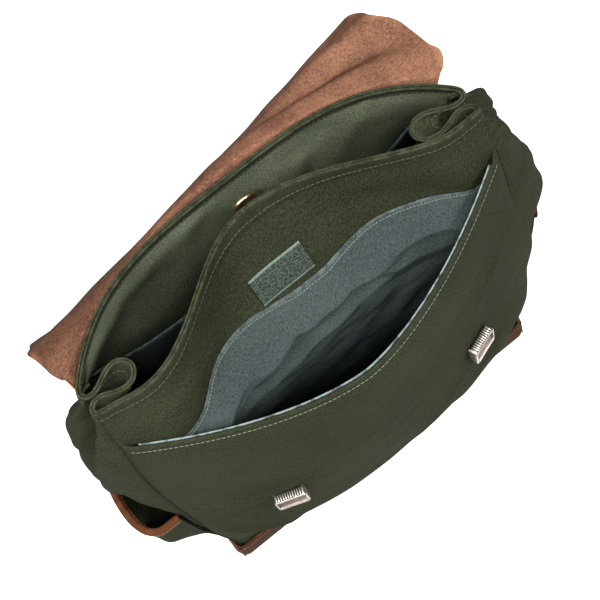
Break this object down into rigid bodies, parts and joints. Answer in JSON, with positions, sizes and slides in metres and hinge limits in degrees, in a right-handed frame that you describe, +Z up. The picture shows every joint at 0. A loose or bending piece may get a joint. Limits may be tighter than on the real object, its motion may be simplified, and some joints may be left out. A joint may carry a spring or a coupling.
{
  "type": "laptop backpack",
  "caption": "Soft canvas laptop backpack standing open on a leather base, with a leather flap thrown back, an open lined front pocket, bound side pockets and metal tuck locks.",
  "frame": {"origin": "middle of the leather base's underside", "axes": "+X to the right seen from the front, front pocket towards -Y, +Z up"},
  "size_m": [0.3936, 0.2065, 0.4008],
  "materials": {
    "canvas": "washed olive cotton canvas",
    "lining": "plain grey-blue cotton",
    "leather": "waxed brown leather",
    "flesh_leather": "raw flesh side",
    "hook_tape": "hook tape pile",
    "steel": "warm polished plating",
    "brass": "polished"
  },
  "bodies": {
    "bag": {"back_panel": "canvas", "divider_panel": "canvas", "front_pocket_panel": "canvas", "left_gusset": "canvas", "right_gusset": "canvas", "pocket_lining_back": "lining", "pocket_lining_front": "lining", "laptop_sleeve": "lining", "hook_and_loop_patch": "hook_tape", "snap_socket": "brass", "snap_stud": "brass", "base": "leather", "left_side_pocket": "canvas", "right_side_pocket": "canvas", "left_side_binding": "leather", "right_side_binding": "leather", "flap": "flesh_leather", "left_flap_tab": "leather", "right_flap_tab": "leather", "left_lock_frame": "steel", "right_lock_frame": "steel", "left_shoulder_strap": "leather", "right_shoulder_strap": "leather"},
    "left_lever": {"left_lock_lever": "steel"},
    "right_lever": {"right_lock_lever": "steel"}
  },
  "joints": [
    {"name": "left_lever_hinge", "type": "hinge", "parent": "bag", "child": "left_lever", "pos_m": [-0.08976, -0.08626, 0.18771], "axis": [-0.9384, 0.3426, -0.0463], "range_deg": [0, 17]},
    {"name": "right_lever_hinge", "type": "hinge", "parent": "bag", "child": "right_lever", "pos_m": [0.08976, -0.08626, 0.18771], "axis": [-0.9384, -0.3426, 0.0463], "range_deg": [0, 17]}
  ]
}
